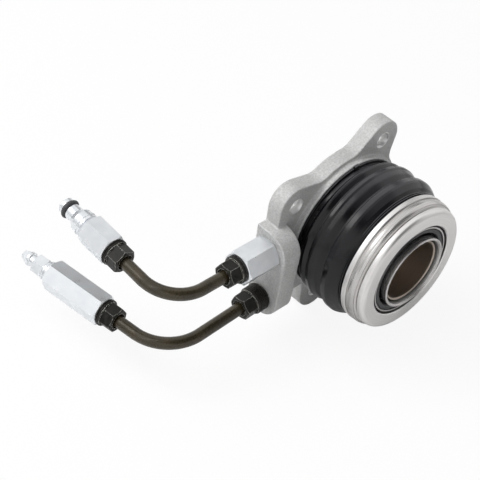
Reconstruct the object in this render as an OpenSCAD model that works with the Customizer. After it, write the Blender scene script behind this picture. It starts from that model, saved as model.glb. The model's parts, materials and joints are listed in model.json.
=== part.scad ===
// Concentric slave cylinder with its release bearing, feed pipe and bleed pipe.
// The bore runs along Y, the gearbox mounting face is y = 0 and the bearing faces -Y.
// The two ports face -X and +Z is up.

/* [Housing] */
// Outer radius of the round flange
flange_r = 40.4; // [39.8:0.2:43]
// Thickness of the flange and its ears
flange_t = 9; // [8:0.5:11]
// Outer radius of the raised rim round the boot
rim_r = 38.4; // [37.6:0.2:39.2]
// Height of the raised rim above the flange
rim_h = 3.5; // [2:0.25:4]
// Radial width of the rim
rim_w = 3.2; // [2:0.2:3.6]
// Radius of the circle through the ear holes
ear_circle_r = 47; // [46:0.5:50]
// Radius of the round end of each ear
ear_r = 11.2; // [10:0.2:12.4]
// Radius of each ear's bolt hole
ear_hole_r = 4.25; // [3.3:0.05:5.2]
// Fillet radius where an ear's flank meets the flange
ear_fillet_r = 10; // [4:0.5:12]

/* [Cylinder] */
// Radius of the hydraulic bore
bore_r = 24.4; // [24:0.1:24.8]
// Thickness of the wall round the hydraulic bore
wall_t = 4.4; // [3.5:0.1:4.8]
// Thickness of the floor behind the pressure chamber
floor_t = 6; // [5.5:0.25:7]
// Travel of the piston
travel = 15; // [12:0.5:17]
// Inner radius of the guide tube
guide_bore_r = 17; // [16:0.1:17.2]
// Wall thickness of the guide tube
guide_t = 1; // [0.8:0.1:1.2]
// Length of the piston
piston_len = 23; // [20:0.5:26]
// Length of the piston's cup seal
seal_len = 4.5; // [4:0.25:5.5]
// Diameter of the preload spring's wire
wire_d = 3; // [2.4:0.1:3.1]
// Turns of the preload spring
spring_turns = 6; // [5:0.5:6.5]

/* [Bearing] */
// Thickness of the carrier's sheet
carrier_t = 1.5; // [1.2:0.1:2]
// Inner radius of the carrier's skirt
skirt_r = 33.4; // [33.2:0.1:33.8]
// Radius of the carrier's band in front of the boot
band_r = 37.5; // [36.8:0.1:38.2]
// Width of that band
band_w = 2.7; // [1.6:0.1:3]
// Crest radius of the bearing's shell
shell_r = 37.25; // [36.6:0.05:38]
// Radius of the balls
ball_r = 2; // [1.8:0.05:2.1]
// Radius of the circle through the ball centres
ball_circle_r = 30.5; // [30.2:0.1:30.7]
// Number of balls
ball_count = 24; // [16:1:28]
// Outer radius of the rotating front ring
ring_r = 35.6; // [35.2:0.1:36.4]
// Radius of the front ring's opening
ring_bore_r = 26.9; // [26.6:0.1:27.2]
// Rounding of the front ring's outer edge
ring_round = 2.4; // [1.5:0.1:2.6]
// Outer radius of the thrust sleeve
sleeve_r = 20.8; // [20.6:0.1:21.2]
// How far the sleeve stands ahead of the front ring
sleeve_proud = 2.2; // [0.8:0.1:2.5]
// How far the guide tube's edge lies behind the sleeve's
guide_recess = 2.4; // [1:0.1:5]

/* [Boot] */
// Thickness of the boot's rubber
boot_t = 1.4; // [1:0.1:1.6]
// Radius at the bottom of the boot's grooves
boot_root_r = 36; // [35.8:0.1:36.6]
// Crest radius of the two large folds
boot_crest_r = 40.5; // [39.5:0.1:41.4]
// Crest radius of the small fold beside the rim
boot_small_crest_r = 39.2; // [36.8:0.1:39.6]

/* [Ports and pipes] */
// Distance of the port face from the bore axis
port_x = 55; // [54:0.5:58]
// Height of the feed port above the bore axis
feed_z = 6.3; // [4:0.1:8]
// Depth of the bleed port below the bore axis
bleed_z = 24.1; // [23:0.1:27]
// Radius of the port block round the feed port
feed_boss_r = 12.5; // [11:0.1:14]
// Radius of the port block round the bleed port
bleed_boss_r = 11.4; // [7.8:0.1:12]
// Where the port block's front part ends beside the boot
block_inner_x = 43.5; // [42.6:0.1:45]
// Downward tilt of the bleed port in degrees
bleed_tilt = 4; // [0:0.5:6]
// Outer radius of the pipes
pipe_r = 3.3; // [2.9:0.05:3.4]
// Wall thickness of the pipes
pipe_t = 0.9; // [0.7:0.1:1.2]
// Straight run of the feed pipe from the port face
feed_run = 43.6; // [40:0.1:48]
// Bend radius of the feed pipe
feed_bend_r = 21; // [17:0.5:24]
// Angle of the feed pipe's bend
feed_bend = 90; // [80:1:95]
// Turn of the feed pipe's bend about its port, in degrees
feed_turn = 5.8; // [0:0.1:12]
// Straight length of the feed pipe past its bend
feed_tail = 13.3; // [10:0.1:20]
// Straight run of the bleed pipe from the port face
bleed_run = 42; // [38:0.5:48]
// Bend radius of the bleed pipe
bleed_bend_r = 24.5; // [20:0.5:27]
// Angle of the bleed pipe's bend
bleed_bend = 83; // [78:1:92]
// Turn of the bleed pipe's bend about its port, in degrees
bleed_turn = 1.6; // [-4:0.1:8]
// Straight length of the bleed pipe past its bend
bleed_tail = 11; // [8:0.1:18]

/* [Fittings] */
// Width across flats of the tube nuts
nut_af = 12; // [11.5:0.5:14]
// Length of a tube nut's hexagon
nut_hex_h = 7; // [5:0.1:9]
// Radius of a tube nut's collar
nut_collar_r = 7; // [6.8:0.1:7.4]
// Length of a tube nut's collar
nut_collar_h = 2.4; // [1.5:0.1:3.5]
// Length of the longer collar on the bleed port's nut
port_collar_h = 7.6; // [5:0.1:9]
// Radius of the threads of the ports and tube nuts
thread_r = 6; // [5.8:0.1:6.2]
// Width across flats of the port adapter
adapter_af = 17; // [17:1:19]
// Length of the port adapter's hexagon
adapter_h = 20.4; // [18:0.2:23]
// Width across flats of the feed coupling
feed_coupling_af = 15; // [15:1:17]
// Length of the feed coupling's hexagon
feed_coupling_h = 17.7; // [16:0.1:22]
// Radius of the feed coupling's plug
plug_r = 4.4; // [4:0.1:4.8]
// Width across flats of the bleed coupling
bleed_coupling_af = 15; // [14:0.5:16]
// Length of the bleed coupling's hexagon
bleed_coupling_h = 36.6; // [32:0.2:42]
// Width across flats of the bleed screw
bleed_screw_af = 10; // [9:0.5:11]

/* [Hidden] */
$fn = 96;
eps = 0.02;
slide_fit = 0.08;
snug_fit = 0.05;
free_gap = 0.3;

// Ears: direction of the hole, spread of the flank before it and of the flank after it
ears = [[61.4, 15, 23], [144.1, 23, 24], [257.1, 15, 15]];

// Places along the bore, from the mounting face forward
flange_y = -flange_t;
rim_y = flange_y - rim_h;
floor_y = -floor_t;
floor_gap = 0.5;
seal_rear_y = floor_y - floor_gap - travel;
piston_rear_y = seal_rear_y - seal_len;
piston_front_y = piston_rear_y - piston_len;
sleeve_flange_t = 1;
carrier_rear_y = piston_front_y - sleeve_flange_t;
carrier_front_y = carrier_rear_y - carrier_t;
wall_y = carrier_rear_y + travel + 2 * free_gap;
centering_h = 0.6;
race_rear_y = carrier_front_y - centering_h;
race_t = 1.5;
track_r = ball_r + 0.1;
ball_y = race_rear_y - race_t - track_r;
track_depth = 0.8;
race_front_y = ball_y + track_r - track_depth;
ring_inner_y = ball_y - track_r + track_depth;
ring_face_t = 1.5;
ring_face_y = ball_y - track_r - ring_face_t;
sleeve_front_y = ring_face_y - sleeve_proud;
ring_skirt_h = 4.5;
ring_skirt_w = 1.7;
ring_skirt_y = ring_face_y + ring_skirt_h;

// Carrier skirt, its band and the shell in front of the band
skirt_t = 1.2;
skirt_out_r = skirt_r + skirt_t;
skirt_len = 11.5;
skirt_rear_y = carrier_front_y + skirt_len;
collar_len = 5.8;
band_rear_y = skirt_rear_y - collar_len;
band_front_y = band_rear_y - band_w;
shell_gap = 0.5;
shell_rear_y = band_front_y - shell_gap;
shell_front_y = ring_skirt_y + 2 * shell_gap;
shell_in_r = skirt_out_r + snug_fit;

// Guide tube, its stop ring and its static seal
guide_r = guide_bore_r + guide_t;
guide_front_y = sleeve_front_y + guide_recess;
guide_flange_r = guide_r + 4;
guide_flange_t = 1.5;
stop_t = 1.2;
stop_seat = 0.4;
sleeve_t = 1.3;
sleeve_in_r = sleeve_r - sleeve_t;
stop_gap = 0.7;
stop_r = sleeve_in_r - stop_gap;
oring_r = 0.95;
gland_w = 2.4;
gland_y = -guide_flange_t - 1 - gland_w / 2;
gland_r = guide_r + 2 * oring_r + 3 * slide_fit;

// Spring between the flange and the carrier
wall_out_r = bore_r + wall_t;
spring_r = (wall_out_r + skirt_r) / 2;

// Ports
block_inner_root_x = 20;
port_y = -flange_t;
block_top_z = feed_z + feed_boss_r;
block_bottom_z = -bleed_z - bleed_boss_r;
port_depth = port_x - block_inner_x - 1.1;
flare_t = 1.6;
shank_len = port_depth - flare_t - 0.8;
shank_r = thread_r - snug_fit;
passage_r = 1.6;
passage_y = -flange_t / 2;
feed_passage_angle = 164;
bleed_passage_angle = 208;
flare_r = 4.6;
pipe_hole_r = pipe_r + 0.15;

// Turn of each hexagon about its own axis, as the fittings were tightened
adapter_angle = 6;
feed_port_nut_angle = 6;
bleed_port_nut_angle = 12;
feed_nut_angle = 26;
bleed_nut_angle = 2;
feed_coupling_angle = 6;
bleed_coupling_angle = 17;
bleed_screw_angle = 57;

// Plug of the feed coupling
plug_collar_r = 6.4;
plug_collar_h = 7;
plug_len = 12.8;
plug_lip = 2.5;
plug_seal_r = 1.5;
plug_groove_depth = 2.1;

cast_colour = "#b4b4b2";
steel_colour = "#c4c1bc";
dark_steel_colour = "#8d8c8a";
zinc_colour = "#dcdfe2";
black_oxide_colour = "#2b2b29";
pipe_colour = "#544a39";
rubber_colour = "#1d1e20";

// Points of an arc, as angles in degrees
function arc(c, r, a0, a1, n) =
    [for (i = [0:n]) let (a = a0 + (a1 - a0) * i / n) [c[0] + r * cos(a), c[1] + r * sin(a)]];
function turned(p, a) = [p[0] * cos(a) - p[1] * sin(a), p[0] * sin(a) + p[1] * cos(a)];
function mirrored(pts) = [for (i = [len(pts) - 1:-1:0]) [pts[i][0], -pts[i][1]]];

// One flank of an ear that points along +X: from the round end to the flange, with its fillet
function flank(spread) =
    let (foot = ear_circle_r * sin(spread) + ear_r,
         reach = sqrt(pow(flange_r + ear_fillet_r, 2) - pow(foot + ear_fillet_r, 2)),
         n = [sin(spread), cos(spread)],
         t = [cos(spread), -sin(spread)],
         c = (foot + ear_fillet_r) * n + reach * t,
         a0 = 270 - spread,
         a1 = 180 + atan2(c[1], c[0]))
    arc(c, ear_fillet_r, a0, a1, 8);

// Half of an ear's round end, from its tip to the start of a flank
function ear_end(spread) = arc([ear_circle_r, 0], ear_r, 0, 90 - spread, 10);

// A whole ear, from the flange before it to the flange after it
function ear(e) =
    [for (p = concat(mirrored(concat(ear_end(e[1]), flank(e[1]))), ear_end(e[2]), flank(e[2])))
        turned(p, e[0])];
function angle_of(p) = (atan2(p[1], p[0]) + 360) % 360;

// The flange between one ear and the next
function between(e, f) =
    let (a = ear(e), b = ear(f),
         a0 = angle_of(a[len(a) - 1]),
         a1 = angle_of(b[0]),
         stop = a1 < a0 ? a1 + 360 : a1,
         mid = arc([0, 0], flange_r, a0, stop, 24))
    [for (i = [1:23]) mid[i]];

function flange_outline() =
    [for (i = [0:2]) each concat(ear(ears[i]), between(ears[i], ears[(i + 1) % 3]))];

// Turns a profile of [radius, y] points about the bore
module revolve(profile) {
    rotate([-90, 0, 0]) rotate_extrude() polygon(profile);
}

// A plain ring about the bore
module ring(r_in, r_out, y0, y1) {
    revolve([[r_in, y0], [r_out, y0], [r_out, y1], [r_in, y1]]);
}

// A round hole along the bore
module bore_hole(r, y0, y1) {
    translate([0, y0, 0]) rotate([-90, 0, 0]) cylinder(r = r, h = y1 - y0);
}

// Draws in the XZ plane and extrudes from y0 to y1
module plate(y0, y1) {
    translate([0, y1, 0]) rotate([90, 0, 0]) linear_extrude(y1 - y0) children();
}

// Section of the port block: two bosses and their common tangent, squared off at the mounting face
function block_section() =
    let (drop = feed_z + bleed_z, lean = asin((feed_boss_r - bleed_boss_r) / drop))
    concat([[0, block_top_z]],
           arc([port_y, feed_z], feed_boss_r, 90, 180 + lean, 16),
           arc([port_y, -bleed_z], bleed_boss_r, 180 + lean, 270, 12),
           [[0, block_bottom_z]]);

module port_block() {
    // Front part beside the boot
    translate([-port_x, 0, 0]) rotate([90, 0, 90])
        linear_extrude(port_x - block_inner_x) polygon(block_section());
    // Root that joins it to the flange and to the ear above
    plate(flange_y, 0) translate([-port_x, block_bottom_z])
        square([port_x - block_inner_root_x, block_top_z - block_bottom_z]);
    plate(flange_y, 0) polygon(ear_web());
}

// Web between the port block and the ear above it
function ear_web() =
    let (c = turned([ear_circle_r, 0], ears[1][0]))
    [[c[0] - ear_r, c[1]], [c[0] - ear_r, feed_z], [-block_inner_root_x, feed_z], c];

// Frames of the two ports: local +Z leaves the port face along its axis
module feed_port() {
    translate([-port_x, port_y, feed_z]) rotate([0, -90, 0]) rotate([0, 0, 90 - feed_turn]) children();
}

module bleed_port() {
    translate([-port_x, port_y, -bleed_z]) rotate([0, -90 - bleed_tilt, 0])
        rotate([0, 0, 90 - bleed_turn]) children();
}

// Frame at the end of a bend that starts at height run and turns towards local +X
module past_bend(run, bend_r, bend) {
    translate([bend_r, 0, run]) rotate([0, bend, 0]) translate([-bend_r, 0, 0]) children();
}

module feed_end() {
    feed_port() past_bend(feed_run, feed_bend_r, feed_bend) translate([0, 0, feed_tail]) children();
}

module bleed_end() {
    bleed_port() past_bend(bleed_run, bleed_bend_r, bleed_bend) translate([0, 0, bleed_tail]) children();
}

module housing() {
    color(cast_colour) difference() {
        union() {
            plate(flange_y, 0) polygon(flange_outline());
            ring(rim_r - rim_w, rim_r, rim_y, flange_y + 1);
            ring(bore_r, wall_out_r, wall_y, floor_y);
            port_block();
        }
        // Pressure chamber, gland and guide tube seat
        bore_hole(bore_r, flange_y - eps, floor_y);
        bore_hole(guide_r + snug_fit, floor_y - 1, 1);
        ring(guide_r, gland_r, gland_y - gland_w / 2, gland_y + gland_w / 2);
        bore_hole(guide_flange_r + slide_fit, -guide_flange_t, 1);
        for (e = ears) {
            c = turned([ear_circle_r, 0], e[0]);
            translate([c[0], 0, c[1]]) bore_hole(ear_hole_r, flange_y - 1, 1);
        }
        // Threaded ports and the passages from them into the chamber
        feed_port() translate([0, 0, -port_depth]) cylinder(r = thread_r, h = port_depth + 1);
        bleed_port() translate([0, 0, -port_depth]) cylinder(r = thread_r, h = port_depth + 1);
        // Spot face that seats the tilted nut
        bleed_port() cylinder(r = nut_collar_r + 0.5, h = 3);
        passage(feed_z, feed_passage_angle);
        passage(-bleed_z, bleed_passage_angle);
    }
}

// Drilling inside the flange, from the floor of a port at height z to the chamber's edge at an angle
module passage(z, angle) {
    from = [port_depth - port_x - 1, passage_y, z];
    to = [(bore_r - 1) * cos(angle), floor_y - 0.6, (bore_r - 1) * sin(angle)];
    d = to - from;
    translate(from) rotate([0, acos(d[2] / norm(d)), atan2(d[1], d[0])])
        cylinder(r = passage_r, h = norm(d));
}

module guide_tube() {
    lip = guide_t / 2;
    color(dark_steel_colour) revolve([
        [guide_bore_r, 0], [guide_bore_r, guide_front_y + lip], [guide_bore_r + lip, guide_front_y],
        [guide_r, guide_front_y], [guide_r, stop_y() - stop_t - slide_fit],
        [guide_r - stop_seat, stop_y() - stop_t - slide_fit], [guide_r - stop_seat, stop_y() + slide_fit],
        [guide_r, stop_y() + slide_fit], [guide_r, -guide_flange_t], [guide_flange_r, -guide_flange_t],
        [guide_flange_r, 0]]);
}

function stop_y() = piston_front_y - free_gap;

module guide_tube_oring() {
    color(rubber_colour) revolve(arc([guide_r + slide_fit + oring_r, gland_y], oring_r, 0, 345, 23));
}

// Snap ring in the guide tube's groove, which ends the piston's travel
module stop_ring() {
    gap_w = 3;
    color(steel_colour) difference() {
        ring(guide_r - stop_seat + snug_fit, stop_r, stop_y() - stop_t, stop_y());
        translate([-gap_w / 2, stop_y() - 2 * stop_t, guide_bore_r]) cube([gap_w, 3 * stop_t, 4]);
    }
}

module piston() {
    r_in = guide_r + slide_fit;
    r_out = bore_r - slide_fit;
    step = 1;
    color("#3a3a3c") revolve([
        [r_in, piston_front_y], [r_out - step, piston_front_y], [r_out, piston_front_y + step],
        [r_out, piston_rear_y], [r_in, piston_rear_y]]);
}

// Cup seal behind the piston, with its lips towards the pressure
module piston_seal() {
    r_in = guide_r + slide_fit;
    r_out = bore_r - slide_fit;
    lip = 1.5;
    base = 1.8;
    mid = (r_in + r_out) / 2;
    color(rubber_colour) revolve([
        [r_in, piston_rear_y], [r_out, piston_rear_y], [r_out, seal_rear_y], [r_out - lip, seal_rear_y],
        [mid, piston_rear_y + base], [r_in + lip, seal_rear_y], [r_in, seal_rear_y]]);
}

// Height along a spring with closed end turns, from 0 to 1 over the length of its wire
function coil_rise(turn, height) =
    let (closed = wire_d * 1.04, open = (height - 2 * closed) / (spring_turns - 2))
    turn < 1 ? closed * turn
    : turn > spring_turns - 1 ? height - closed * (spring_turns - turn)
    : closed + open * (turn - 1);

module preload_spring() {
    sides = 8;
    steps = 28;
    n = floor(spring_turns * steps);
    low = carrier_rear_y + wire_d / 2;
    height = flange_y - carrier_rear_y - wire_d;
    points = [for (i = [0:n], j = [0:sides - 1])
        let (turn = spring_turns * i / n, a = 360 * turn, s = 360 * j / sides,
             r = spring_r + wire_d / 2 * cos(s))
        [r * cos(a), low + coil_rise(turn, height) + wire_d / 2 * sin(s), r * sin(a)]];
    walls = [for (i = [0:n - 1], j = [0:sides - 1])
        let (k = (j + 1) % sides)
        [i * sides + j, i * sides + k, (i + 1) * sides + k, (i + 1) * sides + j]];
    start = [for (j = [sides - 1:-1:0]) j];
    end = [for (j = [0:sides - 1]) n * sides + j];
    color(steel_colour) polyhedron(points, concat([start, end], walls));
}

// Fixed sleeve seen inside the bearing, with a flange behind the carrier
module thrust_sleeve() {
    lip = 0.4;
    color(steel_colour) revolve([
        [sleeve_in_r, piston_front_y], [sleeve_in_r, sleeve_front_y + lip],
        [sleeve_in_r + lip, sleeve_front_y], [sleeve_r - lip, sleeve_front_y],
        [sleeve_r, sleeve_front_y + lip], [sleeve_r, carrier_rear_y],
        [bore_r - 1.2, carrier_rear_y], [bore_r - 1.2, piston_front_y]]);
}

// Pressed cup between the piston and the bearing, with the band that holds the boot
module bearing_carrier() {
    lip = 0.3;
    color(steel_colour) revolve([
        [sleeve_r + snug_fit, carrier_rear_y], [sleeve_r + snug_fit, carrier_front_y],
        [skirt_out_r - 1, carrier_front_y], [skirt_out_r, carrier_front_y + 1],
        [skirt_out_r, band_front_y], [band_r - lip, band_front_y], [band_r, band_front_y + lip],
        [band_r - lip, band_rear_y], [skirt_out_r, band_rear_y], [skirt_out_r, skirt_rear_y],
        [skirt_r, skirt_rear_y], [skirt_r, carrier_rear_y]]);
}

// Outer line of the boot as marks: share of the folded length, radius there, and 1 where
// the wall drops steeply, so that its inner side lies further forward.
// Each fold is a saw tooth: a long front slope, a narrow land and a steep drop behind it.
groove_r = boot_root_r + 2;
lip_h = 2.55;
lip_len = 2.4;
lip_r = skirt_out_r + lip_h;
fold_marks = [[0, lip_r, 0],
              [0.2, boot_crest_r, 0], [0.33, boot_crest_r, 1], [0.355, groove_r, 1],
              [0.6, boot_crest_r, 0], [0.69, boot_crest_r, 1], [0.715, groove_r, 1],
              [0.855, boot_small_crest_r, 1], [0.93, boot_root_r, 1]];
fold_steps = 6;
fold_front_y = band_rear_y + lip_len;
fold_rear_y = rim_y - 1.2;
drop_shift = 0.7;

function ease(s) = (1 - cos(180 * s)) / 2;
function mix(a, b, s) = a + (b - a) * s;
function fold_y(share) = mix(fold_front_y, fold_rear_y, share);
function fold_point(a, b, s, inset) =
    [mix(a[1], b[1], ease(s)) - inset,
     fold_y(mix(a[0], b[0], s)) - mix(a[2], b[2], s) * drop_shift * inset];
function fold_line(inset) =
    [for (i = [0:len(fold_marks) - 2], k = [0:fold_steps])
        let (a = fold_marks[i], b = fold_marks[i + 1])
        if (k == 0 || (k < fold_steps && a[1] != b[1]) || (k == fold_steps && i == len(fold_marks) - 2))
            fold_point(a, b, k / fold_steps, inset)];

function reversed(pts) = [for (i = [len(pts) - 1:-1:0]) pts[i]];

module dust_boot() {
    front_y = band_rear_y + snug_fit;
    grip_r = skirt_out_r + snug_fit;
    foot_r = rim_r - 0.6;
    lip_step = 1;
    seat_r = rim_r - rim_w - snug_fit;
    inner = reversed(fold_line(boot_t));
    color(rubber_colour) {
        revolve(concat(
            [[grip_r, front_y], [lip_r - lip_step, front_y], [lip_r - lip_step, front_y + lip_len / 2],
             [lip_r, front_y + lip_len / 2]],
            fold_line(0),
            [[boot_root_r, fold_rear_y], [foot_r, fold_rear_y], [foot_r, rim_y - snug_fit],
             [seat_r, rim_y - snug_fit],
             [seat_r, flange_y - 0.5], [seat_r - boot_t, flange_y - 0.5]],
            [for (p = inner) if (p[1] > skirt_rear_y + 1) p],
            [[grip_r, skirt_rear_y + 0.6]]));
        boot_tab();
    }
}

// Small moulded tab on the boot's foot, which hooks over the rim
module boot_tab() {
    tab_w = 3;
    tab_angle = 92;
    rotate([0, -tab_angle, 0]) translate([rim_r - 2, fold_rear_y, -tab_w / 2])
        cube([2.6, rim_y - fold_rear_y - snug_fit, tab_w]);
}

// Dished washer that lets the bearing centre itself on the carrier
module centering_spring() {
    sheet = 0.4;
    r_in = ring_bore_r - 0.4;
    r_out = skirt_r - 0.6;
    color(dark_steel_colour) revolve([
        [r_in, carrier_front_y], [r_in, carrier_front_y - sheet],
        [r_out, race_rear_y], [r_out, race_rear_y + sheet]]);
}

// Convex pressed shell round the bearing
module bearing_shell() {
    crown_y = (shell_front_y + shell_rear_y) / 2;
    crown_round = 6;
    steps = 12;
    edge = [for (i = [0:steps])
        let (y = shell_front_y + (shell_rear_y - shell_front_y) * i / steps)
        [shell_r - pow(y - crown_y, 2) / (2 * crown_round), y]];
    color(steel_colour) revolve(concat(
        [[shell_in_r, shell_rear_y], [shell_in_r, shell_front_y]], edge));
}

module rear_race() {
    half = sqrt(pow(track_r, 2) - pow(track_r - track_depth, 2));
    a = asin((track_r - track_depth) / track_r);
    color(steel_colour) revolve(concat(
        [[ring_bore_r + 0.3, race_rear_y], [ring_bore_r + 0.3, race_front_y]],
        arc([ball_circle_r, ball_y], track_r, 180 - a, a, 12),
        [[skirt_out_r - 0.1, race_front_y], [skirt_out_r - 0.1, race_rear_y]]));
}

module ball_ring(r) {
    for (i = [0:ball_count - 1]) rotate([0, 360 * i / ball_count, 0])
        translate([ball_circle_r, ball_y, 0]) sphere(r = r, $fn = 32);
}

module bearing_balls() {
    color(steel_colour) ball_ring(ball_r);
}

// Comb that spaces the balls: its pockets are open towards the bore
module ball_cage() {
    cage_h = 1.4;
    color("#6f675a") difference() {
        ring(ball_circle_r - 0.7 * ball_r, ring_r - ring_skirt_w - 2 * free_gap,
             ball_y - cage_h / 2, ball_y + cage_h / 2);
        for (i = [0:ball_count - 1]) rotate([0, 360 * i / ball_count, 0])
            translate([ball_circle_r, 0, 0]) bore_hole(ball_r + 0.1, ball_y - cage_h, ball_y + cage_h);
    }
}

// Rotating ring that presses on the clutch's fingers
module front_ring() {
    inner_w = 1.1;
    edge = 0.5;
    a = asin((track_r - track_depth) / track_r);
    inner_y = ring_face_y + 4.2;
    color(steel_colour) revolve(concat(
        [[ring_bore_r, inner_y], [ring_bore_r, ring_face_y + edge], [ring_bore_r + edge, ring_face_y]],
        arc([ring_r - ring_round, ring_face_y + ring_round], ring_round, 270, 360, 8),
        [[ring_r, ring_skirt_y - edge], [ring_r - edge, ring_skirt_y], [ring_r - ring_skirt_w, ring_skirt_y],
         [ring_r - ring_skirt_w, ring_inner_y]],
        arc([ball_circle_r, ball_y], track_r, 360 - a, 180 + a, 12),
        [[ring_bore_r + inner_w, ring_inner_y], [ring_bore_r + inner_w, inner_y]]));
}

case_gap = 1.2;
case_r = ring_bore_r - case_gap;
case_t = 0.7;
seal_gap = 0.9;

// Thin steel case that carries the front seal
module seal_case() {
    color(steel_colour) ring(case_r - case_t, case_r, ring_face_y + 1, carrier_front_y);
}

// Rubber seal between the case and the sleeve
module front_seal() {
    out = case_r - case_t - snug_fit;
    in = sleeve_r + seal_gap;
    face = ring_face_y + 1.3;
    color("#3b3c3e") revolve([
        [in, face + 2.6], [in, face + 0.8], [in + 0.6, face], [out - 0.9, face], [out - 0.5, face + 0.5],
        [out, face + 0.5], [out, face + 2.6]]);
}

// Straight hexagon along local +Z with both ends chamfered to a round
module hex_bar(af, h) {
    corner_r = af / sqrt(3);
    end_r = af / 2 * 0.97;
    over = 1;
    slope = 0.6 * (corner_r + over - end_r);
    intersection() {
        cylinder(r = corner_r, h = h, $fn = 6);
        rotate_extrude() polygon([[0, 0], [end_r, 0], [corner_r + over, slope],
                                  [corner_r + over, h - slope], [end_r, h], [0, h]]);
    }
}

// Adapter between the feed port and the feed pipe's nut
module port_adapter() {
    color(zinc_colour) feed_port() difference() {
        union() {
            rotate([0, 0, adapter_angle]) hex_bar(adapter_af, adapter_h);
            translate([0, 0, 1 - port_depth]) cylinder(r = shank_r, h = port_depth);
        }
        translate([0, 0, adapter_h - shank_len - flare_t]) cylinder(r = thread_r, h = port_depth);
        translate([0, 0, -port_depth]) cylinder(r = passage_r, h = 2 * port_depth + adapter_h);
    }
}

// Tube nut: threaded shank below z = 0, then its collar and hexagon
module tube_nut(collar_h) {
    color(black_oxide_colour) difference() {
        union() {
            translate([0, 0, -shank_len]) cylinder(r = shank_r, h = shank_len + 1);
            cylinder(r = nut_collar_r, h = collar_h);
            translate([0, 0, collar_h - 0.5]) hex_bar(nut_af, nut_hex_h + 0.5);
        }
        translate([0, 0, -shank_len - 1]) cylinder(r = pipe_hole_r, h = shank_len + collar_h + nut_hex_h + 2);
        translate([0, 0, collar_h + nut_hex_h - 1.2]) cylinder(r = pipe_hole_r + 0.9, h = 2);
    }
}

module feed_port_nut() {
    feed_port() translate([0, 0, adapter_h]) rotate([0, 0, feed_port_nut_angle]) tube_nut(nut_collar_h);
}

module bleed_port_nut() {
    bleed_port() rotate([0, 0, bleed_port_nut_angle]) tube_nut(port_collar_h);
}

// A nut at the far end of a pipe faces back along it
module far_nut() {
    nut_h = nut_collar_h + nut_hex_h;
    translate([0, 0, nut_h]) mirror([0, 0, 1]) tube_nut(nut_collar_h);
}

module feed_coupling_nut() {
    feed_end() rotate([0, 0, feed_nut_angle]) far_nut();
}

module bleed_coupling_nut() {
    bleed_end() rotate([0, 0, bleed_nut_angle]) far_nut();
}

// Bore or outside of a bent pipe: radius r, from start below its bend to end past it.
// Past the bend it is a hair wider, so that the straight tail holds the end of the bend.
module pipe_core(r, start, run, bend_r, bend, end) {
    lap = 1;
    wider = 0.05;
    translate([0, 0, start]) cylinder(r = r, h = run - start);
    translate([bend_r, 0, run]) rotate([-90, 0, 0]) rotate([0, 0, 180])
        rotate_extrude(angle = bend) translate([bend_r, 0]) circle(r = r);
    past_bend(run, bend_r, bend) translate([0, 0, -lap]) cylinder(r = r + wider, h = end + lap);
}

// Pipe with a flare at each end, where a nut clamps it
module pipe(start, run, bend_r, bend, tail) {
    far = tail + nut_collar_h + nut_hex_h + shank_len + flare_t;
    color(pipe_colour) difference() {
        union() {
            pipe_core(pipe_r, start, run, bend_r, bend, far);
            translate([0, 0, start]) cylinder(r = flare_r, h = flare_t);
            past_bend(run, bend_r, bend) translate([0, 0, far - flare_t]) cylinder(r = flare_r, h = flare_t);
        }
        pipe_core(pipe_r - pipe_t, start - 1, run, bend_r, bend, far + 1);
    }
}

module feed_pipe() {
    feed_port() pipe(adapter_h - shank_len - flare_t, feed_run, feed_bend_r, feed_bend, feed_tail);
}

module bleed_pipe() {
    bleed_port() pipe(-shank_len - flare_t, bleed_run, bleed_bend_r, bleed_bend, bleed_tail);
}

// Socket for a tube nut in the near end of a coupling, and the passage behind it
module nut_socket(depth) {
    translate([0, 0, -1]) cylinder(r = thread_r, h = shank_len + flare_t + 1);
    cylinder(r = passage_r, h = depth);
}

// Quick coupling: hexagon, collar and plug with a seal groove near its tip
module feed_coupling() {
    total = feed_coupling_h + plug_collar_h + plug_len;
    neck = 0.6;
    cone = 3;
    groove_z = plug_seal_z() - plug_seal_r - 0.1;
    color(zinc_colour) feed_end() translate([0, 0, nut_collar_h + nut_hex_h]) difference() {
        union() {
            rotate([0, 0, feed_coupling_angle]) hex_bar(feed_coupling_af, feed_coupling_h);
            rotate_extrude() polygon([
                [0, feed_coupling_h - 2], [plug_collar_r - neck, feed_coupling_h - 2],
                [plug_collar_r - neck, feed_coupling_h + neck], [plug_collar_r, feed_coupling_h + 2 * neck],
                [plug_collar_r, feed_coupling_h + plug_collar_h],
                [plug_r, feed_coupling_h + plug_collar_h + cone], [plug_r, groove_z],
                [plug_groove_r(), groove_z], [plug_groove_r(), groove_z + 2 * plug_seal_r + 0.2],
                [plug_r, groove_z + 2 * plug_seal_r + 0.2], [plug_r, total - neck], [plug_r - neck, total],
                [0, total]]);
        }
        nut_socket(total + 1);
    }
}

function plug_groove_r() = plug_r - plug_groove_depth;
function plug_seal_z() = feed_coupling_h + plug_collar_h + plug_len - plug_lip - plug_seal_r - 0.1;

module plug_oring() {
    color(rubber_colour) feed_end() translate([0, 0, nut_collar_h + nut_hex_h + plug_seal_z()])
        rotate_extrude() translate([plug_groove_r() + slide_fit + plug_seal_r, 0])
            circle(r = plug_seal_r, $fn = 24);
}

bleed_bore_r = 1;
bleed_socket_r = 3.6;
bleed_socket_len = 16;

// Long hexagon between the bleed pipe and the bleed screw
module bleed_coupling() {
    color(zinc_colour) bleed_end() translate([0, 0, nut_collar_h + nut_hex_h]) difference() {
        rotate([0, 0, bleed_coupling_angle]) hex_bar(bleed_coupling_af, bleed_coupling_h);
        nut_socket(bleed_coupling_h);
        translate([0, 0, bleed_coupling_h - bleed_socket_len])
            cylinder(r = bleed_socket_r, h = bleed_socket_len + 1);
    }
}

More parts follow.
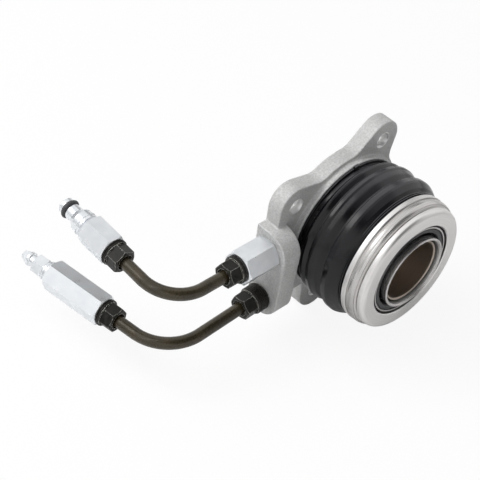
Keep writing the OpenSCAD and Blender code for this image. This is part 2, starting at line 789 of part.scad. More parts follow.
// Bleed screw: shank in the coupling, collar, hexagon and hose nipple
module bleed_screw() {
    shank = bleed_socket_len - 1;
    collar_r = 5.3;
    collar_h = 4;
    hex_h = 7;
    neck_r = 3.3;
    neck_h = 3;
    bulb_r = 3.9;
    bulb_h = 1.2;
    tip_r = 2.2;
    tip_h = 4.3;
    edge = 0.4;
    hex_end = collar_h + hex_h;
    bulb_z = hex_end + neck_h + bulb_r - neck_r;
    end = bulb_z + bulb_h + tip_h;
    color(zinc_colour) bleed_end()
        translate([0, 0, nut_collar_h + nut_hex_h + bleed_coupling_h]) difference() {
            union() {
                rotate_extrude() polygon([
                    [0, -shank], [bleed_socket_r - snug_fit, -shank], [bleed_socket_r - snug_fit, free_gap],
                    [collar_r - edge, free_gap], [collar_r, free_gap + edge], [collar_r, collar_h - edge],
                    [neck_r, collar_h + edge], [neck_r, hex_end + neck_h], [bulb_r, bulb_z],
                    [bulb_r, bulb_z + bulb_h], [tip_r, end], [0, end]]);
                translate([0, 0, collar_h - slide_fit]) rotate([0, 0, bleed_screw_angle])
                    hex_bar(bleed_screw_af, hex_h);
            }
            translate([0, 0, -shank / 2]) cylinder(r = bleed_bore_r, h = shank + end);
        }
}

housing();
guide_tube();
guide_tube_oring();
stop_ring();
piston();
piston_seal();
preload_spring();
thrust_sleeve();
bearing_carrier();
dust_boot();
centering_spring();
bearing_shell();
rear_race();
ball_cage();
bearing_balls();
front_ring();
seal_case();
front_seal();
port_adapter();
feed_pipe();
bleed_pipe();
feed_port_nut();
bleed_port_nut();
feed_coupling_nut();
bleed_coupling_nut();
feed_coupling();
plug_oring();
bleed_coupling();
bleed_screw();
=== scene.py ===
"""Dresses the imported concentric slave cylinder: casting, boot, spring, turned details, light and camera."""

import json
import math

import bpy
from mathutils import Matrix, Vector


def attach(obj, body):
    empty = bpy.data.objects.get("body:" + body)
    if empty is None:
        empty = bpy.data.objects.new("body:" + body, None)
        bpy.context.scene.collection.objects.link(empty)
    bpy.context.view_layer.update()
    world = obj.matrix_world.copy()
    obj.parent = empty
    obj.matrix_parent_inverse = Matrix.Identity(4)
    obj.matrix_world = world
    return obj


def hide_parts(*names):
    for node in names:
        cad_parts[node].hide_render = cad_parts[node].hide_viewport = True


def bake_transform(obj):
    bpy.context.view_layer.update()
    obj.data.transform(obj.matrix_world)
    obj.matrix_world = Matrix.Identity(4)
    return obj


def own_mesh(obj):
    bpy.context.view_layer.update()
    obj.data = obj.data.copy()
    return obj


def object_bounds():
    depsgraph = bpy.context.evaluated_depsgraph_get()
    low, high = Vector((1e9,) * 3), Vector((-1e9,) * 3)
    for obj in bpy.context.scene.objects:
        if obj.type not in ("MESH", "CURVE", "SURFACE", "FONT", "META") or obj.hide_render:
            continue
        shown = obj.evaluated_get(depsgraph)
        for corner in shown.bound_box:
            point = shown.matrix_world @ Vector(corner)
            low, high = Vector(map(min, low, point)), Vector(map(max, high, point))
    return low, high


MM = 0.001
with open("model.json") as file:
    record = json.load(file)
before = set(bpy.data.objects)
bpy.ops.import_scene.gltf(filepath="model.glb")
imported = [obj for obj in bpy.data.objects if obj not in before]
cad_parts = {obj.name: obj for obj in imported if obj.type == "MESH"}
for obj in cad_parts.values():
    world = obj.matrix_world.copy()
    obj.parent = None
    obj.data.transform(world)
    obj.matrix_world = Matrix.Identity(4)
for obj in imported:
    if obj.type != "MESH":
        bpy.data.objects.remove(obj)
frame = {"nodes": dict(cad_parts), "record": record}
nodes = frame["nodes"]
cad_low, cad_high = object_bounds()


# Mesh helpers

FILLET_STEPS = 6
FILLET_REACH = 0.48  # share of a side that one fillet may take up


def set_smooth(piece, smooth):
    piece.data.polygons.foreach_set("use_smooth", [smooth] * len(piece.data.polygons))


def add_mesh(name, points, faces, smooth=True):
    """A new object from points in metres and faces."""
    mesh = bpy.data.meshes.new(name)
    mesh.from_pydata(points, [], faces)
    mesh.validate()
    piece = bpy.data.objects.new(name, mesh)
    set_smooth(piece, smooth)
    bpy.context.scene.collection.objects.link(piece)
    return piece


def add_square(name, size, z=0):
    """A level square about the Z axis."""
    half = size / 2
    corners = [(-half, -half, z), (half, -half, z), (half, half, z), (-half, half, z)]
    return add_mesh(name, corners, [(0, 1, 2, 3)], False)


def metres(profile):
    """A profile of (radius, y) points in millimetres, turned into metres."""
    return [(r * MM, y * MM) for r, y in profile]


def revolve(name, profile, steps):
    """Turns a closed profile of (radius, y) points, in metres, about the bore."""
    count = len(profile)
    points = []
    for i in range(steps):
        a = 2 * math.pi * i / steps
        points += [(r * math.cos(a), y, r * math.sin(a)) for r, y in profile]
    faces = []
    for i in range(steps):
        k = (i + 1) % steps
        for j in range(count):
            m = (j + 1) % count
            faces.append((i * count + j, i * count + m, k * count + m, k * count + j))
    return add_mesh(name, points, faces)


def rounded(corners):
    """Points along a line of (radius, y, fillet) corners, with each corner rounded by its fillet."""
    points = []
    for i, (r, y, fillet) in enumerate(corners):
        here = Vector((r, y))
        if fillet == 0:
            points.append((r, y))
            continue
        back = Vector(corners[i - 1][:2]) - here
        ahead = Vector(corners[(i + 1) % len(corners)][:2]) - here
        half = back.angle(ahead) / 2
        reach = min(fillet / math.tan(half), FILLET_REACH * back.length, FILLET_REACH * ahead.length)
        first = here + back.normalized() * reach
        last = here + ahead.normalized() * reach
        for step in range(FILLET_STEPS + 1):
            t = step / FILLET_STEPS
            point = first * (1 - t) ** 2 + here * 2 * t * (1 - t) + last * t ** 2
            points.append((point.x, point.y))
    return points


def apply_modifiers(piece):
    """Replaces a piece's mesh by what its modifiers make of it."""
    bpy.context.view_layer.update()
    graph = bpy.context.evaluated_depsgraph_get()
    mesh = bpy.data.meshes.new_from_object(piece.evaluated_get(graph))
    piece.modifiers.clear()
    piece.data = mesh


# Material helpers

NOISE_LOW, NOISE_HIGH = 0.3, 0.7  # where most of a noise's values lie
BEVEL_SAMPLES = 6
ANGLE_SHARE = 0.0004  # metres per radian, so that turning lines break up a little round the bore
SEAM_CORE, SEAM_EDGE = 0.004, 0.009  # radians from the middle of a mould line


def new_material(name, colour, metallic, roughness, **sockets):
    """A principled material; returns the material, its node tree and its shader."""
    material = bpy.data.materials.new(name)
    material.use_nodes = True
    tree = material.node_tree
    shader = tree.nodes["Principled BSDF"]
    shader.inputs["Base Color"].default_value = (*colour, 1)
    shader.inputs["Metallic"].default_value = metallic
    shader.inputs["Roughness"].default_value = roughness
    for socket, value in sockets.items():
        shader.inputs[socket.replace("_", " ")].default_value = value
    return material, tree, shader


def add_node(tree, kind, **settings):
    """A shader node; a setting named after an input sets that input."""
    node = tree.nodes.new(kind)
    for key, value in settings.items():
        if key in node.inputs:
            node.inputs[key].default_value = value
        else:
            setattr(node, key, value)
    return node


def calculate(tree, operation, first, second):
    """A math node on two values, each a link or a number."""
    node = add_node(tree, "ShaderNodeMath", operation=operation)
    for socket, value in zip(node.inputs, (first, second)):
        if isinstance(value, (int, float)):
            socket.default_value = value
        else:
            tree.links.new(value, socket)
    return node.outputs[0]


def noise(tree, scale, detail, vector=None):
    """Noise over the part's own coordinates, at a scale per metre."""
    node = add_node(tree, "ShaderNodeTexNoise", Scale=scale, Detail=detail)
    if vector is None:
        vector = add_node(tree, "ShaderNodeTexCoord").outputs["Object"]
    tree.links.new(vector, node.inputs["Vector"])
    return node.outputs["Fac"]


def remap(tree, value, low, high, to_low, to_high):
    """Maps a value from one range to another and clamps it."""
    node = add_node(tree, "ShaderNodeMapRange")
    for socket, number in zip(node.inputs[1:5], (low, high, to_low, to_high)):
        socket.default_value = number
    tree.links.new(value, node.inputs["Value"])
    return node.outputs["Result"]


def mix_colour(tree, share, first, second):
    """Blends two colours, or links, by a share."""
    node = add_node(tree, "ShaderNodeMix", data_type="RGBA")
    tree.links.new(share, node.inputs["Factor"])
    for socket, value in ((node.inputs[6], first), (node.inputs[7], second)):
        if isinstance(value, tuple):
            socket.default_value = (*value, 1)
        else:
            tree.links.new(value, socket)
    return node.outputs[2]


def vary_roughness(tree, shader, value, low, high):
    """Roughness that follows a noise, from low to high."""
    tree.links.new(remap(tree, value, NOISE_LOW, NOISE_HIGH, low, high), shader.inputs["Roughness"])


def add_bump(tree, shader, height, strength, distance):
    """Bump from a height link, over a distance in metres."""
    node = add_node(tree, "ShaderNodeBump", Strength=strength, Distance=distance)
    tree.links.new(height, node.inputs["Height"])
    tree.links.new(node.outputs["Normal"], shader.inputs["Normal"])


def edge_share(tree, radius, low, high):
    """How much a point lies on a sharp edge, from 0 to 1."""
    bevel = add_node(tree, "ShaderNodeBevel", Radius=radius, samples=BEVEL_SAMPLES)
    geometry = add_node(tree, "ShaderNodeNewGeometry")
    dot = add_node(tree, "ShaderNodeVectorMath", operation="DOT_PRODUCT")
    tree.links.new(bevel.outputs["Normal"], dot.inputs[0])
    tree.links.new(geometry.outputs["Normal"], dot.inputs[1])
    return remap(tree, dot.outputs["Value"], high, low, 0, 1)


def part_axes(tree, coordinate="Object"):
    """X, Y and Z of one of the part's own coordinates; Y runs along the bore."""
    separate = add_node(tree, "ShaderNodeSeparateXYZ")
    tree.links.new(add_node(tree, "ShaderNodeTexCoord").outputs[coordinate], separate.inputs[0])
    return separate.outputs


def around_bore(tree):
    """Angle about the bore, in radians."""
    x, _, z = part_axes(tree)
    return calculate(tree, "ARCTAN2", z, x)


def turned_coordinates(tree):
    """Coordinates much the same all round the bore: radius, place along it, and a little of the angle."""
    x, y, z = part_axes(tree)
    flat = add_node(tree, "ShaderNodeCombineXYZ")
    tree.links.new(x, flat.inputs["X"])
    tree.links.new(z, flat.inputs["Y"])
    radius = add_node(tree, "ShaderNodeVectorMath", operation="LENGTH")
    tree.links.new(flat.outputs[0], radius.inputs[0])
    joined = add_node(tree, "ShaderNodeCombineXYZ")
    tree.links.new(radius.outputs["Value"], joined.inputs["X"])
    tree.links.new(y, joined.inputs["Y"])
    tree.links.new(calculate(tree, "MULTIPLY", around_bore(tree), ANGLE_SHARE), joined.inputs["Z"])
    return joined.outputs[0]


def mould_seam(tree, degrees):
    """1 on the two thin lines that the mould's halves leave on a boot, else 0."""
    shift = calculate(tree, "SUBTRACT", around_bore(tree), math.radians(degrees))
    wrap = calculate(tree, "PINGPONG", shift, math.pi / 2)
    return remap(tree, wrap, SEAM_CORE, SEAM_EDGE, 1, 0)


# Materials

SEAM_BLACK = (0.001, 0.001, 0.001)
PAINTED_LIGHT_FROM = 0.68  # how far up a face looks before the painted light from above starts on it


def cast_aluminium():
    material, tree, shader = new_material("cast_aluminium", (0.56, 0.56, 0.555), 0.15, 0.6)
    cloud = noise(tree, 60, 5)
    grain = noise(tree, 1100, 5)
    colour = mix_colour(tree, remap(tree, cloud, 0.35, 0.7, 0, 1), (0.61, 0.61, 0.605), (0.51, 0.51, 0.505))
    speck = mix_colour(tree, remap(tree, grain, 0.38, 0.62, 0, 0.5), colour, (0.36, 0.36, 0.355))
    tree.links.new(speck, shader.inputs["Base Color"])
    vary_roughness(tree, shader, grain, 0.5, 0.7)
    add_bump(tree, shader, grain, 0.3, 0.0003)
    return material


def turned_steel(name, colour, roughness, spread, anisotropy):
    """Steel with fine turning lines round the bore."""
    material, tree, shader = new_material(name, colour, 1.0, roughness, Anisotropic=anisotropy)
    lines = noise(tree, 5200, 5, turned_coordinates(tree))
    tint = mix_colour(tree, remap(tree, lines, NOISE_LOW, NOISE_HIGH, 0, 1),
                      tuple(0.9 * c for c in colour), tuple(min(1.0, 1.05 * c) for c in colour))
    tree.links.new(tint, shader.inputs["Base Color"])
    vary_roughness(tree, shader, lines, roughness - spread, roughness + spread)
    tangent = add_node(tree, "ShaderNodeTangent", direction_type="RADIAL", axis="Y")
    tree.links.new(tangent.outputs[0], shader.inputs["Tangent"])
    add_bump(tree, shader, lines, 0.12, 0.00003)
    return material


def zinc_plate():
    """Satin zinc with painted highlights along its edges."""
    material, tree, shader = new_material("zinc_plate", (0.78, 0.80, 0.825), 1.0, 0.3)
    cloud = noise(tree, 160, 4)
    tint = mix_colour(tree, remap(tree, cloud, NOISE_LOW, NOISE_HIGH, 0, 1),
                      (0.83, 0.85, 0.87), (0.74, 0.765, 0.795))
    # painted highlight: sharp edges get a lighter colour, standing in for glints
    bright = mix_colour(tree, edge_share(tree, 0.0004, 0.8, 0.99), tint, (0.9, 0.91, 0.92))
    tree.links.new(bright, shader.inputs["Base Color"])
    vary_roughness(tree, shader, cloud, 0.27, 0.34)
    add_bump(tree, shader, noise(tree, 1400, 3), 0.12, 0.00004)
    return material


def black_oxide():
    """Blackened steel, worn to bright metal along its edges."""
    material, tree, shader = new_material("black_oxide", (0.010, 0.010, 0.009), 0.1, 0.3,
                                          Specular_IOR_Level=0.2)
    patch = remap(tree, noise(tree, 900, 4), 0.38, 0.55, 0.3, 1)
    worn = calculate(tree, "MULTIPLY", edge_share(tree, 0.0007, 0.75, 0.97), patch)
    cloud = noise(tree, 250, 4)
    base = mix_colour(tree, remap(tree, cloud, 0.35, 0.65, 0, 1), (0.008, 0.008, 0.007), (0.020, 0.019, 0.016))
    tree.links.new(mix_colour(tree, worn, base, (0.6, 0.59, 0.55)), shader.inputs["Base Color"])
    vary_roughness(tree, shader, cloud, 0.24, 0.42)
    add_bump(tree, shader, noise(tree, 1500, 3), 0.15, 0.00005)
    return material


def black_thread():
    """Blackened steel without wear, for ridges too fine to show it."""
    material, tree, shader = new_material("black_thread", (0.016, 0.015, 0.013), 0.5, 0.28,
                                          Specular_IOR_Level=0.4)
    vary_roughness(tree, shader, noise(tree, 700, 3), 0.22, 0.36)
    return material


def machined_aluminium():
    """Bright machined walls inside holes."""
    material, tree, shader = new_material("machined_aluminium", (0.82, 0.82, 0.815), 0.7, 0.4)
    vary_roughness(tree, shader, noise(tree, 2500, 2), 0.36, 0.46)
    return material


def olive_coat():
    """The pipes' thin olive coating."""
    material, tree, shader = new_material("olive_coat", (0.042, 0.032, 0.017), 0.35, 0.34,
                                          Coat_Weight=0.25, Coat_Roughness=0.18)
    cloud = noise(tree, 120, 5)
    tint = mix_colour(tree, remap(tree, cloud, 0.35, 0.65, 0, 1), (0.050, 0.038, 0.020), (0.030, 0.024, 0.012))
    tree.links.new(tint, shader.inputs["Base Color"])
    vary_roughness(tree, shader, noise(tree, 900, 3), 0.24, 0.38)
    add_bump(tree, shader, noise(tree, 1800, 2), 0.06, 0.00004)
    return material


def rubber(name, colour, roughness, specular, seam=None, painted_top_light=None):
    """Black rubber; seam is a mould line's angle, and the colour after it is painted on faces that look up, as
    painted light from above.
    """
    material, tree, shader = new_material(name, colour, 0.0, roughness, Specular_IOR_Level=specular)
    cloud = noise(tree, 90, 5)
    tint = mix_colour(tree, remap(tree, cloud, 0.35, 0.7, 0, 1), colour, tuple(1.6 * c for c in colour))
    if seam is not None:
        tint = mix_colour(tree, mould_seam(tree, seam), tint, SEAM_BLACK)
    # painted light: faces that look up are blended to a lighter colour, as if lit from above
    if painted_top_light is not None:
        upward = part_axes(tree, "Normal")["Z"]
        tint = mix_colour(tree, remap(tree, upward, PAINTED_LIGHT_FROM, 1, 0, 1), tint, painted_top_light)
    tree.links.new(tint, shader.inputs["Base Color"])
    vary_roughness(tree, shader, cloud, roughness - 0.06, roughness + 0.08)
    add_bump(tree, shader, noise(tree, 1900, 3), 0.08, 0.00005)
    return material


def moulded_plastic():
    material, tree, shader = new_material("piston_plastic", (0.045, 0.045, 0.047), 0.0, 0.5)
    fleck = noise(tree, 3000, 2)
    vary_roughness(tree, shader, fleck, 0.42, 0.6)
    add_bump(tree, shader, fleck, 0.1, 0.00005)
    return material


finish = {
    "cast_aluminium": cast_aluminium(),
    "bright_steel": turned_steel("bright_steel", (0.56, 0.545, 0.535), roughness=0.26, spread=0.06, anisotropy=0.6),
    # a brighter copy of the turned steel; its extra brightness is partly painted light
    "ground_steel": turned_steel("ground_steel", (0.78, 0.765, 0.755), roughness=0.36, spread=0.06, anisotropy=0.6),
    "guide_steel": turned_steel("guide_steel", (0.42, 0.365, 0.315), roughness=0.4, spread=0.05, anisotropy=0.4),
    "spring_steel": turned_steel("spring_steel", (0.38, 0.37, 0.36), roughness=0.35, spread=0.05, anisotropy=0.0),
    "machined_aluminium": machined_aluminium(),
    "zinc_plate": zinc_plate(),
    "black_oxide": black_oxide(),
    "black_thread": black_thread(),
    "olive_coat": olive_coat(),
    # the boot's rubber carries painted light: a lighter colour on the faces that look up
    "boot_rubber": rubber("boot_rubber", (0.003, 0.003, 0.004), roughness=0.19, specular=0.36,
                          seam=160, painted_top_light=(0.052, 0.050, 0.055)),
    "seal_rubber": rubber("seal_rubber", (0.030, 0.031, 0.033), roughness=0.45, specular=0.5),
    "piston_plastic": moulded_plastic(),
}


def dress(piece, look):
    """Gives a piece one of the finishes."""
    piece.data.materials.clear()
    piece.data.materials.append(finish[look])


for entry in frame["record"]["subparts"]:
    dress(nodes[entry["node"]], entry["material_slot"])
for node in ("front_ring", "bearing_carrier"):
    dress(nodes[node], "ground_steel")  # ground faces, given a brighter copy of the steel than the pressed shell: partly their own finish, partly painted light for the brighter reflections they show


# Dust boot: saw-tooth folds with crisp lands, a bead beside the rim, and two lips behind the steel band

BOOT_STEPS = 200
BOOT_LINE = [  # (radius, y, fillet) in millimetres: the outside from the front to the foot, then the inside
    (34.65, -45.75, 0), (36.15, -45.75, 0.2), (36.15, -44.75, 0.15), (37.05, -44.6, 0.15), (37.15, -44.1, 0.2),
    (36.7, -43.9, 0.1), (36.7, -43.75, 0.1), (37.15, -43.55, 0.15), (37.25, -43.1, 0.2), (36.8, -42.9, 0.3),
    (38.4, -41.4, 3), (40.05, -38.6, 0.8), (40.5, -37.4, 0.4), (40.45, -34.6, 0.5), (40.0, -34.1, 0.15),
    (37.4, -33.2, 0.5), (37.4, -32.0, 1.5), (39.3, -29.2, 4), (40.0, -26.4, 0.5), (40.5, -25.3, 0.4),
    (40.45, -23.5, 0.4), (40.05, -23.1, 0.15), (37.5, -22.3, 0.5), (37.6, -21.3, 1.2), (39.0, -19.4, 1.5),
    (39.35, -18.4, 0.3), (39.1, -17.9, 0.2), (36.3, -15.9, 0.6), (36.2, -13.7, 0.2),
    (37.8, -13.6, 0.2), (37.8, -12.55, 0), (35.15, -12.55, 0), (35.15, -9.5, 0), (33.75, -9.5, 0),
    (34.5, -16.6, 0.5), (37.7, -19.0, 0.4), (36.1, -21.6, 0.4), (36.1, -22.9, 0.4), (39.0, -24.1, 0.5),
    (39.0, -25.6, 0.8), (36.0, -32.0, 0.8), (36.0, -33.9, 0.4), (39.0, -35.0, 0.5), (39.0, -37.2, 0.8),
    (37.2, -40.6, 0.3), (34.65, -40.8, 0),
]
TAB_ANGLE = 92
TAB_LOW = Vector((0.0362, -0.0140, -0.0015))
TAB_HIGH = Vector((0.0390, -0.01255, 0.0015))


def add_boot():
    boot = revolve("boot", metres(rounded(BOOT_LINE)), BOOT_STEPS)
    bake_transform(boot)
    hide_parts("dust_boot")
    dress(boot, "boot_rubber")


def add_tab():
    """Small moulded tab at the boot's foot, over the rim."""
    corners = [(x, y, z) for x in (TAB_LOW.x, TAB_HIGH.x) for y in (TAB_LOW.y, TAB_HIGH.y)
               for z in (TAB_LOW.z, TAB_HIGH.z)]
    turn = Matrix.Rotation(-math.radians(TAB_ANGLE), 3, "Y")
    faces = [(0, 1, 3, 2), (4, 6, 7, 5), (0, 4, 5, 1), (2, 3, 7, 6), (0, 2, 6, 4), (1, 5, 7, 3)]
    tab = add_mesh("boot_tab", [tuple(turn @ Vector(c)) for c in corners], faces, False)
    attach(tab, "housing")
    dress(tab, "boot_rubber")


# Preload spring: the CAD's coil with a round wire

SPRING_TURNS = 6
WIRE_R = 1.5
SPRING_R = 31.1
SPRING_LOW = -48.5
SPRING_HEIGHT = 38.0
CLOSED_PITCH = 2.08  # wire radii that a closed end turn rises
WIRE_SIDES = 14
TURN_STEPS = 60


def coil_rise(turn):
    """Height of the wire's middle after so many turns; the first and last turn are closed."""
    closed = CLOSED_PITCH * WIRE_R
    pitch = (SPRING_HEIGHT - 2 * closed) / (SPRING_TURNS - 2)
    if turn < 1:
        return closed * turn
    if turn > SPRING_TURNS - 1:
        return SPRING_HEIGHT - closed * (SPRING_TURNS - turn)
    return closed + pitch * (turn - 1)


def add_spring():
    sides = WIRE_SIDES
    count = SPRING_TURNS * TURN_STEPS
    points = []
    for i in range(count + 1):
        turn = i / TURN_STEPS
        a = 2 * math.pi * turn
        for j in range(sides):
            s = 2 * math.pi * j / sides
            r = (SPRING_R + WIRE_R * math.cos(s)) * MM
            y = (SPRING_LOW + coil_rise(turn) + WIRE_R * math.sin(s)) * MM
            points.append((r * math.cos(a), y, r * math.sin(a)))
    faces = [(i * sides + j, i * sides + (j + 1) % sides, (i + 1) * sides + (j + 1) % sides, (i + 1) * sides + j)
             for i in range(count) for j in range(sides)]
    faces += [tuple(reversed(range(sides))), tuple(range(count * sides, (count + 1) * sides))]
    spring = add_mesh("spring", points, faces)
    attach(spring, "housing")
    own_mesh(spring)
    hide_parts("preload_spring")
    dress(spring, "spring_steel")


# Housing: the CAD's casting with its edges and corners rounded as cast

VOXEL = 0.00038
SMOOTHING = 0.5
SMOOTH_PASSES = 6
FACES_KEPT = 0.3
BORE_R = 24.55
BORE_FRONT = -36.0
BORE_REAR = -6.2
REAM_DEPTH = 1.2


def ream(piece):
    """Makes the cast bore true again, so that the piston's seal slides clear of it."""
    for vertex in piece.data.vertices:
        x, y, z = vertex.co
        r = math.hypot(x, z)
        if BORE_FRONT * MM < y < BORE_REAR * MM and (BORE_R - REAM_DEPTH) * MM < r < BORE_R * MM:
            vertex.co = (x * BORE_R * MM / r, y, z * BORE_R * MM / r)


def add_casting():
    casting = bpy.data.objects.new("casting", nodes["housing"].data.copy())
    bpy.context.scene.collection.objects.link(casting)
    remesh = casting.modifiers.new("remesh", "REMESH")
    remesh.mode = "VOXEL"
    remesh.voxel_size = VOXEL
    smooth = casting.modifiers.new("smooth", "SMOOTH")
    smooth.factor = SMOOTHING
    smooth.iterations = SMOOTH_PASSES
    thin = casting.modifiers.new("thin", "DECIMATE")
    thin.ratio = FACES_KEPT
    apply_modifiers(casting)
    ream(casting)
    set_smooth(casting, True)
    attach(casting, "housing")
    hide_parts("housing")
    dress(casting, "cast_aluminium")


# Turned details, in millimetres: threads, lands, bright hole walls and the shell's rolled lips

RING_STEPS = 96
ROOT_LIFT = 0.02  # keeps the low parts of a ring just clear of the surface under it
COLLAR_R = 7.0
THREAD_PITCH = 1.1
THREAD_HEIGHT = 0.5
THREAD_SUNK = 0.3
THREAD_RIDGE = ((0.1, ROOT_LIFT), (0.42, THREAD_HEIGHT), (0.58, THREAD_HEIGHT), (0.9, ROOT_LIFT))  # (pitches, rise)
LAND_HEIGHT = 0.35
LAND_CHAMFER = 0.15
LAND_SUNK = 0.4
PLUG_Z, PLUG_R, PLUG_LANDS = 27.1, 6.4, ((1.2, 2.5), (3.2, 4.4))
SCREW_Z, SCREW_R, SCREW_LANDS = 46.0, 5.3, ((0.5, 1.5), (2.2, 3.3))
EARS = (61.4, 144.1, 257.1)
EAR_CIRCLE_R = 47.0
HOLE_STEPS = 48
HOLE_LINE = [(4.05, -0.35), (4.4, 0.0), (4.7, 0.0), (4.7, -9.02), (4.45, -9.02), (4.05, -8.65)]
SLEEVE_STEPS = 120
SLEEVE_LINE = [(19.55, 0.5), (19.46, 0.5), (19.4, 0.6), (19.4, 4.4), (19.55, 4.4)]  # (radius, depth in the sleeve)
LIP_STEPS = 160
SHELL_LIPS = {
    "shell_rear_lip": [(34.8, -48.45), (36.75, -48.45), (36.6, -48.75), (36.75, -49.05), (34.8, -49.05)],
    "shell_front_lip": [(34.8, -53.7), (36.7, -53.7), (35.9, -54.1), (35.3, -54.65), (34.8, -54.7)],
}


def turned(degrees, axis):
    return Matrix.Rotation(math.radians(degrees), 4, axis)


def port_place(place, tilt, turn):
    """A port's own frame, with its Z along the pipe."""
    return Matrix.Translation(place) @ turned(tilt, "Y") @ turned(turn, "Z")


def past_bend(run, bend_r, bend, tail):
    """From a port's frame to the far end of its pipe: a straight run, a bend and a straight tail."""
    shift = Matrix.Translation((bend_r, 0, run))
    return shift @ turned(bend, "Y") @ Matrix.Translation((-bend_r, 0, tail))


def add_turned(name, place, line, body, look):
    """A ring turned about the place's own Z from (radius, z) points."""
    ring = revolve(name, metres(line), RING_STEPS)
    scaled = place.copy()
    scaled.translation = scaled.translation * MM
    ring.data.transform(scaled @ turned(90, "X"))
    set_smooth(ring, False)
    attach(ring, body)
    dress(ring, look)


def thread_line(low, high):
    """Section of a thread's ridges round a nut's collar."""
    line = [(COLLAR_R - THREAD_SUNK, low)]
    count = max(1, round((high - low) / THREAD_PITCH))
    pitch = (high - low) / count
    for i in range(count):
        line += [(COLLAR_R + rise, low + i * pitch + share * pitch) for share, rise in THREAD_RIDGE]
    return line + [(COLLAR_R - THREAD_SUNK, high)]


def land_line(radius, lands):
    """Section of raised lands, each from a low to a high z, with the grooves between them."""
    root, top = radius + ROOT_LIFT, radius + LAND_HEIGHT
    line = [(radius - LAND_SUNK, lands[0][0])]
    for low, high in lands:
        line += [(root, low), (top, low + LAND_CHAMFER), (top, high - LAND_CHAMFER), (root, high)]
    return line + [(radius - LAND_SUNK, lands[-1][1])]


def add_turned_details():
    """Threads of the four nuts, lands beside the feed coupling's hexagon and on the bleed screw's collar."""
    feed = port_place((-55, -9, 6.3), tilt=-90, turn=84.2)
    bleed = port_place((-55, -9, -24.1), tilt=-94, turn=88.4)
    feed_end = feed @ past_bend(run=43.6, bend_r=21, bend=90, tail=13.3)
    bleed_end = bleed @ past_bend(run=42, bend_r=24.5, bend=83, tail=11)
    threads = (("feed_port_thread", feed, 20.4, 22.6), ("bleed_port_thread", bleed, 0.6, 7.0),
               ("feed_coupling_thread", feed_end, 7.2, 9.4), ("bleed_coupling_thread", bleed_end, 7.2, 9.4))
    for name, place, low, high in threads:
        add_turned(name, place, thread_line(low, high), "housing", "black_thread")
    plug = feed_end @ Matrix.Translation((0, 0, PLUG_Z))
    add_turned("plug_lands", plug, land_line(PLUG_R, PLUG_LANDS), "housing", "zinc_plate")
    screw = bleed_end @ Matrix.Translation((0, 0, SCREW_Z))
    add_turned("screw_lands", screw, land_line(SCREW_R, SCREW_LANDS), "bleed_screw", "zinc_plate")


def add_hole_walls():
    """Machined walls of the three bolt holes."""
    for number, angle in enumerate(EARS, 1):
        wall = revolve("bolt_hole_%d" % number, metres(HOLE_LINE), HOLE_STEPS)
        a = math.radians(angle)
        x, z = EAR_CIRCLE_R * math.cos(a) * MM, EAR_CIRCLE_R * math.sin(a) * MM
        wall.data.transform(Matrix.Translation((x, 0, z)))
        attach(wall, "housing")
        dress(wall, "machined_aluminium")


def add_sleeve_wall():
    """Bright turned wall just inside the thrust sleeve's front edge."""
    sleeve = nodes["thrust_sleeve"]
    front = min((sleeve.matrix_world @ v.co).y for v in sleeve.data.vertices) / MM
    wall = revolve("sleeve_wall", metres([(r, front + depth) for r, depth in SLEEVE_LINE]), SLEEVE_STEPS)
    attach(wall, "piston")
    dress(wall, "machined_aluminium")


def add_shell_lips():
    """Rolled edges of the pressed shell: against the band, and over the front ring's skirt."""
    for name, line in SHELL_LIPS.items():
        lip = revolve(name, metres(line), LIP_STEPS)
        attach(lip, "piston")
        dress(lip, "bright_steel")


add_boot()
add_tab()
add_turned_details()
add_shell_lips()
add_hole_walls()
add_sleeve_wall()
add_spring()
add_casting()


# Floor, light and camera

FLOOR_SIZE = 6.0
FLOOR_WHITE = 0.9
AMBIENT = 0.26
CAMERA_TARGET = Vector((-0.0549, 0.0100, 0.0002))
CAMERA_BACK = Vector((-0.5582, -0.4855, 0.6729))
CAMERA_DISTANCE = 0.815
CAMERA_ROLL = math.radians(8.34)
LENS = 120
SENSOR = 36
CLIP_END = 20


def seen_directly(tree):
    """1 for rays from the camera, a reflection or a clear piece, else 0."""
    path = add_node(tree, "ShaderNodeLightPath")
    share = path.outputs["Is Camera Ray"]
    for name in ("Is Glossy Ray", "Is Transmission Ray"):
        share = calculate(tree, "MAXIMUM", share, path.outputs[name])
    return share


def add_floor():
    """White ground that keeps the object's shadow; reflections see it as it is lit."""
    floor = add_square("floor", FLOOR_SIZE, cad_low[2])
    material, tree, shader = new_material("floor", (0.93, 0.93, 0.93), 0.0, 0.9)
    glow = add_node(tree, "ShaderNodeEmission", Strength=1.0)
    mix = add_node(tree, "ShaderNodeMixShader")
    camera_ray = add_node(tree, "ShaderNodeLightPath").outputs["Is Camera Ray"]
    tree.links.new(remap(tree, camera_ray, 0, 1, 0, FLOOR_WHITE), mix.inputs["Fac"])
    tree.links.new(shader.outputs[0], mix.inputs[1])
    tree.links.new(glow.outputs[0], mix.inputs[2])
    tree.links.new(mix.outputs[0], tree.nodes["Material Output"].inputs["Surface"])
    floor.data.materials.append(material)


def add_card(name, place, size, shade):
    """Plain grey board that only reflections see, so that bright metal has something darker to show."""
    board = add_square(name, size)
    board.location = place
    board.rotation_euler = (-Vector(place)).to_track_quat("Z", "Y").to_euler()
    material, tree, _ = new_material(name, (0, 0, 0), 0.0, 1.0)
    glow = add_node(tree, "ShaderNodeEmission", Color=(shade, shade, shade, 1), Strength=1.0)
    tree.links.new(glow.outputs[0], tree.nodes["Material Output"].inputs["Surface"])
    board.data.materials.append(material)
    board.visible_camera = False
    board.visible_diffuse = False
    board.visible_shadow = False


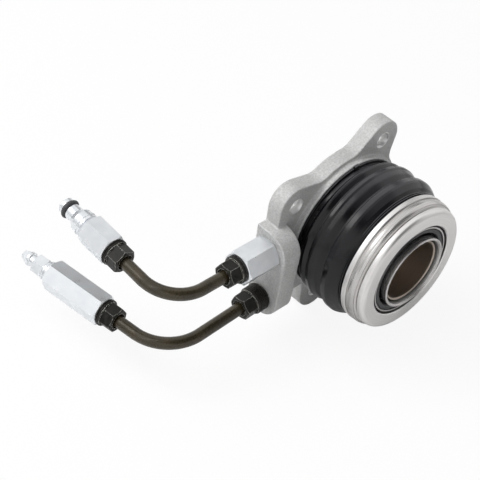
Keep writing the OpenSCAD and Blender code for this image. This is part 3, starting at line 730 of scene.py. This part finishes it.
def add_light(name, place, target, size, power, length=None):
    """A round lamp, or with a length a strip, that looks at a target."""
    data = bpy.data.lights.new(name, "AREA")
    data.shape = "DISK" if length is None else "RECTANGLE"
    data.size = size
    if length is not None:
        data.size_y = length
    data.energy = power
    lamp = bpy.data.objects.new(name, data)
    lamp.location = place
    lamp.rotation_euler = (Vector(target) - Vector(place)).to_track_quat("-Z", "Y").to_euler()
    bpy.context.scene.collection.objects.link(lamp)
    return lamp


def add_lights():
    """Key and fill leave no white spots on bright metal; the strip gives only highlights along the folds."""
    key = add_light("key", (-0.6, 0.45, 1.1), target=(-0.03, -0.02, 0), size=1.2, power=14)
    add_light("softbox", (-0.62, 0.66, 0.85), target=(-0.02, -0.03, 0.02), size=0.55, power=2.4)
    strip = add_light("strip", (-0.72, -0.02, 0.96), target=(0, -0.03, 0.03), size=0.1, power=1.1, length=1.3)
    fill = add_light("fill", (0.3, -1.0, 0.8), target=(0, 0, 0), size=0.8, power=2)
    key.visible_glossy = False
    fill.visible_glossy = False
    strip.visible_diffuse = False


def add_world():
    """White where the camera or a reflection looks, and a plain soft light everywhere else."""
    world = bpy.data.worlds.new("studio")
    bpy.context.scene.world = world
    world.use_nodes = True
    tree = world.node_tree
    background = tree.nodes["Background"]
    background.inputs["Color"].default_value = (1, 1, 1, 1)
    tree.links.new(remap(tree, seen_directly(tree), 0, 1, AMBIENT, 1), background.inputs["Strength"])


def add_camera():
    data = bpy.data.cameras.new("camera")
    data.lens = LENS
    data.sensor_width = SENSOR
    data.clip_end = CLIP_END
    camera = bpy.data.objects.new("camera", data)
    place = CAMERA_TARGET + CAMERA_BACK.normalized() * CAMERA_DISTANCE
    turn = (-CAMERA_BACK).to_track_quat("-Z", "Y").to_matrix() @ Matrix.Rotation(CAMERA_ROLL, 3, "Z")
    camera.matrix_world = Matrix.Translation(place) @ turn.to_4x4()
    bpy.context.scene.collection.objects.link(camera)
    bpy.context.scene.camera = camera


bpy.context.scene.view_settings.view_transform = "Standard"
add_floor()
add_world()
add_lights()
add_card("front_top_card", (0.0, -0.8, 1.2), size=1.9, shade=0.12)
add_card("left_card", (-1.3, 0.42, 0.12), size=0.5, shade=0.4)
add_card("side_card", (1.02, 0.77, 0.62), size=0.5, shade=0.12)
add_card("front_card", (0.75, -1.05, 0.1), size=0.9, shade=0.55)
add_camera()
